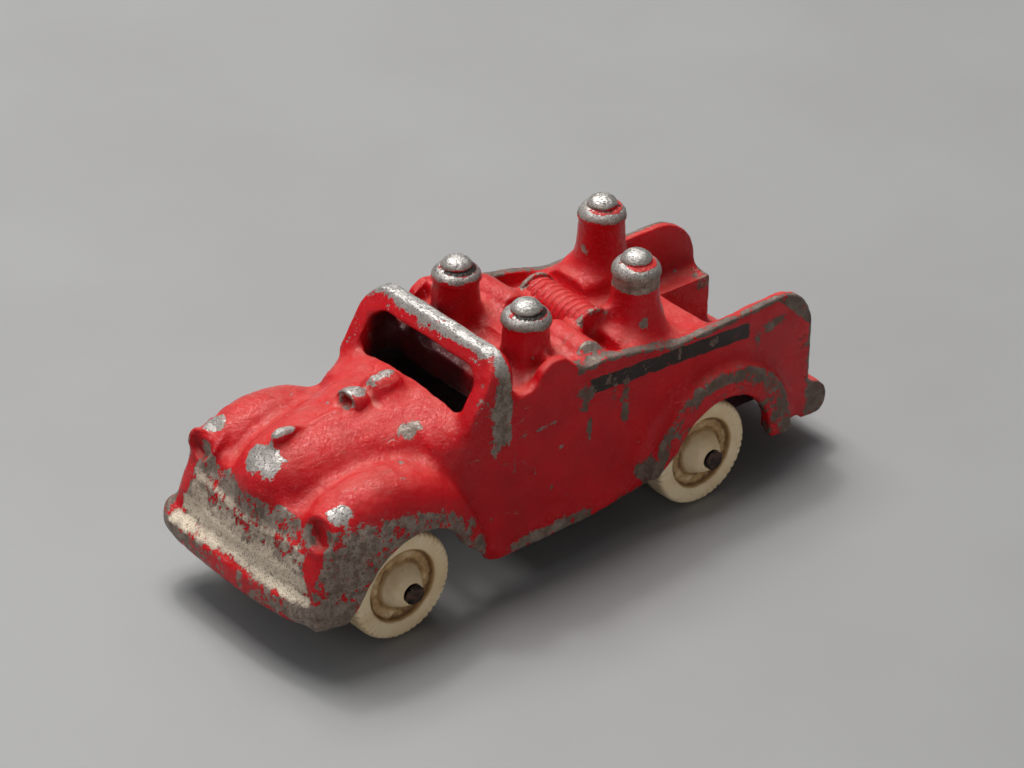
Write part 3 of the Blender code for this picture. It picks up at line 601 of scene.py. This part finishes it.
def front_wear(points):
    """Wear on the bumper, the grille, the fender flanks and their arches."""
    x, y, z = points.T
    side = np.abs(y)
    arch = np.hypot(x - FRONT_ARCH_X, z - FRONT_ARCH_Z)
    rim = np.interp(x, WORN_RIM_X, WORN_RIM_REACH)
    flank = ramp(side, 16.6, 18.2) * (1.0 - ramp(arch, rim - 1.0, rim + 1.2)) * ramp(x, 17.0, 19.0)
    corner = ramp(side, 17.4, 18.8) * ramp(x, 42.0, 45.0) * (1.0 - ramp(z, 23.0, 27.0))
    corner *= 1.0 - 0.8 * patch(points, (51.6, 18.2, 15.5), (1.6, 2.4, 3.8))
    flank *= 0.70
    grille = band(z, 13.0, 25.2, 0.9) * band(side, -1, 15.4, 1.2) * ramp(x, 50.5, 52.0)
    grille *= 0.70 + 0.22 * (1.0 - ramp(z, 16.0, 20.0))
    lip = ramp(x, 46.0, 49.0) * band(z, 6.0, 12.9, 0.5) * ramp(side + x * 0.9, 52.0, 54.0)
    lip_ends = lip * ramp(side, 12.5, 17.0) * 0.5
    bare = np.maximum.reduce([flank, corner * 0.74, grille, lip * 0.60 + lip_ends])
    trough = 14.0 - 0.06 * side
    cream = ramp(x, 52.0, 53.5) * band(side, -1, 17.2, 0.8) * np.exp(-((z - trough) / 1.25) ** 2)
    ridges = np.exp(-((z - 20.3) / 0.6) ** 2) * band(side, -1, 10.0, 1.5) * ramp(x, 52.0, 53.0)
    haze = band(z, 13.5, 22.0, 1.2) * band(side, -1, 15.0, 1.0) * ramp(x, 52.0, 53.0)
    cream = cream * (1.0 + 0.30 * field(points, 2.0, 2, 6.3))
    foot = band(z, 13.8, 17.4, 0.9) * band(side, -1, 16.2, 0.8) * ramp(x, 51.0, 52.2)
    return bare, np.maximum.reduce([cream * 0.80, ridges * 0.6, haze * 0.54, foot * 0.72])


def screen_wear(points):
    """Bare metal along the top and back of the windscreen frame and down its posts."""
    x, y, z = points.T
    side = np.abs(y)
    posts = ramp(side, 13.4, 14.4) * ramp(z, 20.0, 31.0)
    frame_area = band(x, 14.3, 22.5, 0.4) * np.maximum(ramp(z, 39.4, 40.4), posts)
    front_line = 18.6 - 0.12 * (z - 34.0)
    rearward = 1.0 - ramp(x, front_line - 1.8, front_line + 1.4)
    upward = ramp(z, 40.2, 42.4)
    bare = frame_area * np.maximum(0.86 * rearward, 0.95 * upward)
    return np.maximum(bare, 0.42 * frame_area * ramp(z, 30.0, 33.0))


# Top edge of the body sides, from the tail forwards
RAIL_X = (-52.8, -44.2, -37.0, -20.5, -13.0, -5.6, 1.0)
RAIL_TOP_Z = (24.0, 32.2, 32.0, 31.9, 33.9, 35.4, 35.3)

# Worn patches of the body sides: centre, radii and strength
SIDE_PATCHES = (
    ((-1.2, 17.4, 29.6), (2.4, 2.0, 3.0), 0.78),
    ((-1.8, 17.4, 23.4), (0.75, 2.0, 3.4), 0.80),
    ((-9.6, 17.1, 26.0), (1.1, 2.0, 5.8), 0.80),
    ((-7.2, 17.1, 28.4), (0.9, 2.0, 3.2), 0.72),
    ((-4.9, 17.2, 22.1), (0.6, 2.0, 1.0), 0.78),
    ((3.9, 17.1, 22.3), (0.8, 2.0, 0.5), 0.75),
    ((9.3, 17.1, 19.5), (0.5, 2.0, 0.8), 0.80),
    ((5.8, 17.1, 15.2), (0.5, 2.0, 1.0), 0.78),
    ((13.6, 17.1, 22.5), (0.45, 2.0, 3.2), 0.72),
    ((-43.4, 16.1, 27.6), (3.4, 2.0, 1.5), 0.78),
    ((-39.6, 16.1, 26.0), (1.0, 2.0, 2.6), 0.70),
    ((-14.2, 18.4, 11.4), (2.8, 2.6, 3.4), 0.82),
    ((-5.6, 16.9, 31.0), (1.0, 2.0, 1.9), 0.70),
    ((-14.2, 16.7, 30.4), (1.5, 2.0, 1.5), 0.66),
    ((-21.4, 16.6, 29.9), (0.9, 2.0, 1.8), 0.70),
    ((-29.6, 16.4, 29.2), (1.7, 2.0, 1.2), 0.66),
    ((-12.0, -17.1, 24.0), (1.2, 2.0, 4.5), 0.76),
    ((6.0, -17.1, 20.0), (2.2, 2.0, 1.2), 0.74),
    ((-44.0, -16.2, 26.0), (3.0, 2.0, 2.2), 0.76),
    ((-22.0, -17.0, 27.5), (0.9, 2.0, 3.0), 0.72),
)


def side_wear(points):
    """Wear on the body sides: sill, rail, drips below it, rear corners, flanges, lockers and tail."""
    x, y, z = points.T
    side = np.abs(y)
    outer = ramp(side, 14.6, 15.4)
    under_rail = np.interp(x, RAIL_X, RAIL_TOP_Z) - z
    rail = outer * band(x, -54.0, 1.2, 0.4) * (1.0 - ramp(under_rail, 0.3, 1.5)) * 0.78
    back = np.hypot(np.minimum(x + 43.0, 0.0), np.maximum(z - 22.5, 0.0))
    corner = outer * ramp(back, 7.8, 9.8) * ramp(-x, 40.0, 46.0) * 0.85
    edge = outer * ramp(-x, 50.6, 52.4) * 0.62
    ring = np.hypot(x - REAR_ARCH_X, z - REAR_ARCH_Z)
    ridge = REAR_ARCH_RADIUS + FLANGE_WIDTH
    lower = REAR_ARCH_RADIUS - 0.5
    flange = 0.72 * band(ring, ridge - 2.3, ridge + 0.3, 0.5) + 0.44 * band(ring, lower, ridge - 2.3, 0.5)
    flange = np.maximum(flange, 0.62 * band(ring, lower, ridge, 0.5) * ramp(-x, 35.0, 40.0))
    flange *= outer * band(z, 0, 27, 1)
    sill = ramp(side, 14.8, 15.6) * (1.0 - ramp(z, 8.4, 9.8)) * band(x, -3.0, 16.0, 2.0) * 0.78
    low_edge = outer * (1.0 - ramp(z, 7.6, 8.8)) * band(x, -20.0, 1.0, 1.0) * 0.5
    door = outer * np.exp(-((z - 27.3) / 0.55) ** 2) * band(x, 4.8, 13.6, 1.0) * 0.68
    tail = ramp(-x, 54.6, 56.6) * (0.40 + 0.16 * ramp(side, 12.0, 15.0))
    locker = band(x, -53.5, -49.5, 0.6) * band(z, 19.5, 22.6, 0.4) * 0.6
    bare = np.maximum.reduce([rail, corner, edge, flange, sill, low_edge, door, tail, locker])
    bare = patched(bare, points, SIDE_PATCHES)
    stripe_z = 31.5 + 0.078 * np.minimum(x, 0.0)
    stripe = ramp(y, 14.8, 15.4) * band(z - stripe_z, -1.7, 1.5, 0.3) * band(x, -38.0, -1.2, 1.2) * 0.66
    return bare, stripe


def seat_wear(points):
    """Worn ends of the seat back and worn flanges of the reel."""
    x, y, z = points.T
    side = np.abs(y)
    ends = [ramp(blob(points, (-3.9, end, 36.0), (4.5, 1.8, 3.0)), 0.1, 0.5) for end in (14.2, -14.2)]
    squab = np.maximum(*ends) * 0.66
    reel = band(np.hypot(x - REEL[0], z - REEL[2]), 3.3, 4.6, 0.2) * band(side, 6.2, 8.4, 0.3) * 0.62
    return np.maximum(squab, reel)


def headlight_area(points):
    """1 on the headlights and the fender fronts around them."""
    x, y, z = points.T
    return band(x, 46.5, 60.0, 0.8) * ramp(np.abs(y), 11.0, 12.5) * band(z, 20.5, 40.0, 1.0)


def cab_share(points):
    """How dark the cab is behind the windscreen: most on the right, where less light gets in."""
    x, y, z = points.T
    cab = band(x, 8.5, 19.4, 0.8) * band(z, 27.0, 38.6, 0.5) * band(y, -13.9, 13.9, 0.4)
    return 0.95 * cab * (1.0 - 0.55 * ramp(y, 2.0, 7.0))


def casting():
    """The one-piece body, softened like an old casting and marked with its wear.

    Faces moved out, meshed again and moved back fill the valleys that are too narrow for a mould.
    """
    body = voxelled(welded("body_casting", "cast_body"), VOXEL)
    skin = Skin(body.data)
    skin.points += CLOSING * skin.normals()
    skin.write()
    body = voxelled(body, VOXEL)
    skin = Skin(body.data)
    skin.points -= CLOSING * skin.normals()
    keep = small_forms(skin.points)
    skin.soften(SOFTEN_ROUNDS, (0.55 - 0.30 * keep)[:, None])
    concave = ramp(-skin.curvature(CURVATURE_ROUNDS), 0.03, 0.12)
    concave = skin.averaged(skin.averaged(concave[:, None])).ravel()
    skin.soften(FILLET_ROUNDS, (0.6 * concave * (1.0 - 0.85 * keep))[:, None])
    skin.soften(LAMP_ROUNDS, (0.5 * headlight_area(skin.points))[:, None])
    carve_details(skin)
    shrink_under_helmets(skin)
    # inner: the hollow inside and the dark cab, which get painted shade and no wear
    inner = inside_shade_share(skin.points, skin.normals())
    inner = np.maximum(inner, cab_share(skin.points))
    inner = skin.averaged(skin.averaged(inner[:, None])).ravel()
    mark_casting(skin, inner)
    finish_cast(body)
    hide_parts("body_casting")


def finish_cast(obj):
    """Smooth shading, the shared enamel, and a seat on the casting's body."""
    obj.data.shade_smooth()
    obj.data.materials.clear()
    obj.data.materials.append(bpy.data.materials.get("worn_red_enamel") or worn_paint())
    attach(obj, "casting")


# Helmet shell, from the crown down: depth below the crown and radius
HELMET_DEPTHS = (0.0, 0.05, 0.35, 0.8, 1.3, 1.7, 1.82, 2.1, 2.5, 3.0, 3.5, 4.0, 4.4)
HELMET_RADII = (0.0, 0.85, 1.7, 2.25, 2.55, 2.62, 2.85, 3.35, 3.75, 4.02, 4.12, 4.05, 3.2)
HELMET_INSET = 0.35


def shell(name, centre, profile, axis, squash=(1.0, 1.0, 1.0), segments=72):
    """A turned piece of the casting: profile of (distance along the axis, radius) round centre."""
    loops = []
    for along, radius in smooth_line(profile, 3):
        loop = []
        for i in range(segments):
            angle = math.tau * i / segments
            a, b = radius * math.cos(angle), radius * math.sin(angle)
            spot = {"x": (along, a, b), "y": (b, along, a), "z": (a, b, along)}[axis]
            loop.append([c + k * q for c, k, q in zip(centre, spot, squash)])
        loops.append(loop)
    mesh = looped_mesh(name, loops)
    obj = link(bpy.data.objects.new(name, mesh))
    skin = Skin(mesh)
    skin.points += skin.normals() * (0.05 * field(skin.points, 1.6, 3, 5.2))[:, None]
    mark_casting(skin, np.zeros(len(skin.points)))
    finish_cast(obj)


def smooth_line(points, steps):
    """A rounded open line through the points, its radii never below a hair."""
    padded = [points[0], *points, points[-1]]
    line = []
    for before, start, end, after in zip(padded, padded[1:], padded[2:], padded[3:]):
        four = [np.array(point, float) for point in (before, start, end, after)]
        line += [between(*four, step / steps) for step in range(steps)]
    line.append(np.array(points[-1], float))
    return [(along, max(radius, 0.02)) for along, radius in line]


def reel_profile():
    """Two flanges with ribs of wound hose between them, as (distance along, radius)."""
    line = [(-REEL_HALF, 0.0), (-REEL_HALF, 3.5), (-REEL_HALF + 0.15, 4.1), (-REEL_HALF + 0.75, 4.15)]
    line.append((-REEL_HALF + 0.95, 3.5))
    pitch = 2 * (REEL_HALF - 0.95) / REEL_RIBS
    rib = ((0.25, 3.7), (0.5, 3.78), (0.75, 3.7), (1.0, 3.5))
    for i in range(REEL_RIBS):
        start = -REEL_HALF + 0.95 + pitch * i
        line += [(start + pitch * share, radius) for share, radius in rib]
    line += [(REEL_HALF - 0.75, 4.15), (REEL_HALF - 0.15, 4.1), (REEL_HALF, 3.5), (REEL_HALF, 0.0)]
    return line


def small_castings():
    """Helmets, siren, lamp, mascot and hose reel, with the crispness of their moulds."""
    helmet = [(-depth, radius) for depth, radius in zip(HELMET_DEPTHS, HELMET_RADII)] + [(-4.35, 0.0)]
    for i, place in enumerate(HELMETS):
        shell(f"helmet_{i}", place, helmet, "z")
    siren = [(-3.3, 0.0), (-3.2, 1.2), (-2.7, 2.2), (-1.7, 2.85), (-0.4, 3.05), (0.3, 3.0), (0.6, 2.7)]
    siren += [(0.35, 2.35), (-1.0, 2.1), (-2.2, 1.5), (-2.5, 0.6), (-2.5, 0.0)]
    shell("siren", SIREN, siren, "x")
    lamp = [(-3.2, 0.0), (-3.0, 1.4), (-2.2, 2.4), (-1.0, 2.9), (0.4, 2.85), (1.5, 2.3), (2.1, 1.3)]
    lamp.append((2.2, 0.0))
    shell("lamp", LAMP, lamp, "x")
    tear = [(-3.9, 0.0), (-2.8, 0.4), (-1.3, 0.85), (0.4, 1.2), (1.6, 1.15), (2.5, 0.7), (2.8, 0.0)]
    shell("mascot", MASCOT, tear, "x", (1.0, 1.0, 1.15))
    shell("hose_reel", REEL, reel_profile(), "y")


def mark_casting(skin, inner):
    """Wear, residue, black remnants, hollows, polish, tarnish and the painted shade of the inside, as
    numbers on each point.
    """
    points, normals = skin.points, skin.normals()
    x, y, z = points.T
    crest = skin.curvature(CURVATURE_ROUNDS)
    heads, head_black = helmet_wear(points)
    front, cream = front_wear(points)
    sides, stripe = side_wear(points)
    edges = ramp(crest, 0.10, 0.42) * 0.62
    crowns, screen, seats = crown_wear(points), screen_wear(points), seat_wear(points)
    bare = np.maximum.reduce([crowns, heads, front, screen, sides, seats, edges])
    skin.mark("bare", bare * (1.0 - inner) - 0.1)
    skin.mark("cream", cream * (1.0 - inner))
    skin.mark("black", np.maximum(head_black, stripe) * (1.0 - inner))
    skin.mark("hollow", ramp(-crest, 0.06, 0.34))
    skin.mark("inner", inner)
    skin.mark("outer", 1.0 - inner)
    nose = band(y, -6.0, 6.0, 1.0) * ramp(x, 24.0, 26.0) * ramp(z, 26.0, 29.0) * 0.7
    lamps = ramp(np.abs(y), 13.0, 14.5) * ramp(x, 46.0, 47.5) * ramp(z, 25.5, 27.0) * 0.8
    high = np.maximum.reduce([ramp(z, 38.5, 41.0), nose, lamps])
    polish = ramp(normals[:, 2], 0.0, 0.85) * (0.15 + 0.85 * high) * ramp(z, 20.0, 27.0)
    skin.mark("polish", polish * (1.0 - inner))
    rails = ramp(np.abs(y), 13.8, 14.8) * (1.0 - ramp(x, 1.0, 4.0))
    low = (1.0 - ramp(z, 19.0, 27.0)) * ramp(np.abs(y), 15.0, 17.0)
    skin.mark("tarnish", np.maximum(0.85 * rails, 0.32 * low))


def inside_shade_share(points, normals):
    """1 where almost no open sky is seen: the hollow underside and the backs of the wheel openings, which
    get painted shade and no wear.
    """
    bm = bmesh.new()
    bm.from_mesh(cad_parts["body_casting"].data)
    tree = BVHTree.FromBMesh(bm)
    bm.free()
    rays = [Vector((0, 0, 1))]
    for lift, count in ((0.9, 5), (0.25, 8)):
        for i in range(count):
            turn = math.tau * (i + 0.4) / count
            rays.append(Vector((math.cos(turn), math.sin(turn), lift)).normalized())
    x, y, z = points.T
    low = (np.abs(y) < 19.0) & (x > -52.6) & (x < 55.5) & (z < 33.0) & ((x < 50.0) | (normals[:, 0] < 0.3))
    share = np.zeros(len(points))
    for i in np.nonzero(low)[0]:
        start = Vector((points[i] + 0.45 * normals[i]) * MM)
        seen = 0
        for ray in rays:
            if tree.ray_cast(start, ray)[0] is None:
                seen += 1
                if seen > 1:
                    break
        share[i] = 1.0 if seen < 2 else 0.0
    return share


# ---------------------------------------------------------------- wheels and axles


WHEEL_SEGMENTS = 192
WHEEL_STEPS = 4
NOTCHES = 46
RECESS_RADIUS = 6.3
BORE = 1.5
HUB_HEIGHT = 2.1
AXLE_SEGMENTS = 48


def smooth_profile(points, steps):
    """A rounded line through the points, as a closed loop."""
    count = len(points)
    line = []
    for i in range(count):
        four = [np.array(points[(i + k) % count], float) for k in (-1, 0, 1, 2)]
        line += [between(*four, step / steps) for step in range(steps)]
    return np.array(line)


def wheel_section(face, back, radius):
    """The wheel's outline as (distance from the toy's middle, radius), from the bore's back to its front."""
    return [
        (back, BORE), (back, 3.0), (back + 0.6, 3.8), (back + 0.6, radius - 1.6), (back + 1.0, radius - 0.5),
        (back + 2.0, radius - 0.04), (face - 1.4, radius - 0.04), (face - 0.6, radius - 0.15),
        (face - 0.12, radius - 0.55), (face, radius - 1.4), (face - 0.1, RECESS_RADIUS + 0.7),
        (face - 0.45, RECESS_RADIUS + 0.1), (face - 1.1, RECESS_RADIUS - 0.25), (face - 1.15, 5.4),
        (face - 1.0, 4.8), (face - 1.2, 4.2), (face - 0.5, 3.75), (face + 0.35, 3.35), (face + 1.2, 2.8),
        (face + 1.8, 2.2), (face + 2.0, BORE + 0.1),
    ]


def number_band(value, low, high, soft):
    """band for one number."""
    return float(band(np.array(value), low, high, soft))


def rubber_point(along, reach, angle, seed, face, back, radius, limit):
    """A point of the outline, moved by notches, lumps and wobble: new distance, new radius and how much
    darker it is.
    """
    spot = Vector((math.cos(angle) * reach, along, math.sin(angle) * reach)) + Vector((seed * 31.0, 0, 0))
    rough = noise.fractal(spot / 2.2, 1.0, 2.0, 3)
    notch = max(0.0, math.cos(angle * NOTCHES + 1.3 * rough)) ** 3
    forward = float(ramp(np.array(along), back + 1.5, face - 1.2))
    shoulder = number_band(reach, radius - 1.9, radius + 1, 0.35) * forward
    tread = number_band(reach, radius - 0.5, radius + 1, 0.2) * (1.0 - 0.4 * shoulder)
    patchy = 0.5 + 0.5 * noise.noise(Vector((math.cos(angle) * 2.1, seed * 7.0, math.sin(angle) * 2.1)))
    cut = notch * (0.30 * shoulder * patchy + 0.12 * tread)
    ring = number_band(reach, 4.2, RECESS_RADIUS - 0.2, 0.3) if along > face - 2.0 else 0.0
    lump = 0.42 * ring * noise.fractal(spot / 1.4, 0.8, 2.0, 2)
    new_reach = max(BORE, min(radius, reach - cut - abs(0.035 * rough)))
    new_along = min(limit, max(back, along + lump - 0.6 * cut * shoulder))
    # Darker along the recess edges, over the recess ring, in the notches and on the inner face
    rim_line = math.exp(-((reach - RECESS_RADIUS + 0.1) / 0.35) ** 2)
    edge_line = rim_line + 0.8 * math.exp(-((reach - 4.15) / 0.4) ** 2)
    on_face = 1.0 if along > face - 1.8 else 0.0
    rubber_darkening = on_face * (edge_line + (0.72 + 0.5 * rough) * ring) + 0.8 * cut / 0.3
    rubber_darkening += 0.25 * (along < back + 0.7)
    return new_along, new_reach, rubber_darkening


def wheel(node, body, side, seed):
    """A moulded rubber wheel: notched shoulder, smooth face, lumpy recess and a hub like a cone."""
    low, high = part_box(node)
    middle = (low + high) / 2 / MM
    radius = (high.x - low.x) / 2 / MM
    inner, outer = sorted((low.y / MM, high.y / MM), key=abs)
    back, limit = abs(inner), abs(outer)
    face = limit - HUB_HEIGHT
    profile = smooth_profile(wheel_section(face, back, radius), WHEEL_STEPS)
    profile[:, 0] = np.clip(profile[:, 0], back, limit)
    profile[:, 1] = np.clip(profile[:, 1], BORE, radius)
    rubber_darkening, loops = [], []
    for along, reach in profile:
        loop = []
        for i in range(WHEEL_SEGMENTS):
            angle = math.tau * i / WHEEL_SEGMENTS
            new_along, new_reach, darkness = rubber_point(along, reach, angle, seed, face, back, radius, limit)
            x = middle.x + math.cos(angle) * new_reach
            loop.append((x, side * new_along, middle.z + math.sin(angle) * new_reach))
            rubber_darkening.append(darkness)
        loops.append(loop)
    mesh = looped_mesh("rubber_" + node, loops, closed=True)
    mesh.shade_smooth()
    attribute = mesh.attributes.new("rubber_darkening", "FLOAT", "POINT")
    attribute.data.foreach_set("value", np.array(rubber_darkening, dtype=np.float32))
    obj = link(bpy.data.objects.new("rubber_" + node, mesh))
    obj.data.materials.append(bpy.data.materials.get("aged_cream_rubber") or old_rubber())
    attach(obj, body)
    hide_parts(node)


def axle(node, body, seed):
    """A steel rod with a hand-flattened, uneven head at each end."""
    low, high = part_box(node)
    middle = (low + high) / 2 / MM
    end = high.y / MM
    head = (high.x - low.x) / 2 / MM
    shank = head * 0.66
    half = [(0.0, shank), (end - 0.9, shank), (end - 0.6, shank), (end - 0.58, head * 0.95)]
    half += [(end - 0.4, head), (end - 0.2, head * 0.95), (end - 0.07, head * 0.8)]
    half += [(end - 0.01, head * 0.55), (end, head * 0.25)]
    profile = [(-a, r) for a, r in reversed(half[1:])] + half
    loops = []
    for along, reach in profile:
        loop = []
        for i in range(AXLE_SEGMENTS):
            angle = math.tau * i / AXLE_SEGMENTS
            spot = Vector((math.cos(angle), math.copysign(2.0, along) + seed, math.sin(angle)))
            dent = 0.13 * abs(noise.noise(spot * 1.7)) * reach if abs(along) > end - 0.6 else 0.0
            x = middle.x + math.cos(angle) * (reach - dent)
            loop.append((x, along, middle.z + math.sin(angle) * (reach - dent)))
        loops.append(loop)
    mesh = looped_mesh("steel_" + node, loops)
    mesh.shade_smooth()
    mesh.set_sharp_from_angle(angle=math.radians(40))
    obj = link(bpy.data.objects.new("steel_" + node, mesh))
    obj.data.materials.append(bpy.data.materials.get("oxidised_steel") or dark_steel())
    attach(obj, body)
    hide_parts(node)


# ---------------------------------------------------------------- stage


def camera():
    """The camera, looking down on the nose and the left side."""
    a, e = CAMERA_AZIMUTH, CAMERA_ELEVATION
    back = Vector((math.sin(a) * math.cos(e), -math.cos(a) * math.cos(e), math.sin(e)))
    right = (-back).cross(Vector((0, 0, 1))).normalized()
    up = right.cross(-back)
    c, s = math.cos(CAMERA_ROLL), math.sin(CAMERA_ROLL)
    right, up = c * right + s * up, c * up - s * right
    data = bpy.data.cameras.new("camera")
    data.lens = CAMERA_LENS
    data.sensor_width = SENSOR_WIDTH
    data.clip_start = 0.01
    obj = link(bpy.data.objects.new("camera", data))
    turn = Matrix((right, up, back)).transposed().to_4x4()
    obj.matrix_world = Matrix.Translation((CAMERA_TARGET + back * CAMERA_DISTANCE) * MM) @ turn
    bpy.context.scene.camera = obj


def area_light(name, place, target, size, watts, colour):
    """A soft rectangular light at place, aimed at target."""
    data = bpy.data.lights.new(name, "AREA")
    data.shape = "RECTANGLE"
    data.size, data.size_y = size
    data.energy = watts
    data.color = colour
    obj = link(bpy.data.objects.new(name, data))
    obj.location = place
    obj.rotation_euler = (Vector(target) - Vector(place)).to_track_quat("-Z", "Y").to_euler()


def stage():
    """Floor, soft lights and a dim even surround."""
    bm = bmesh.new()
    bmesh.ops.create_grid(bm, x_segments=1, y_segments=1, size=FLOOR_HALF)
    mesh = bpy.data.meshes.new("floor")
    bm.to_mesh(mesh)
    bm.free()
    floor = link(bpy.data.objects.new("floor", mesh))
    floor.data.materials.append(table_top())
    for light in LIGHTS:
        area_light(*light)
    world = bpy.data.worlds.new("surround")
    world.use_nodes = True
    background = world.node_tree.nodes["Background"]
    background.inputs["Color"].default_value = WORLD_COLOUR
    background.inputs["Strength"].default_value = WORLD_STRENGTH
    bpy.context.scene.world = world
    bpy.context.scene.view_settings.view_transform = "Standard"


def main():
    casting()
    small_castings()
    for end, axle_seed in (("front", 1.0), ("rear", 5.0)):
        axle(end + "_axle", end + "_axle", axle_seed)
        for side, hand, wheel_seed in ((1, "left", 3.0), (-1, "right", 8.0)):
            node = f"{end}_{hand}_wheel"
            wheel(node, node, side, len(node) + wheel_seed)
    camera()
    stage()


main()
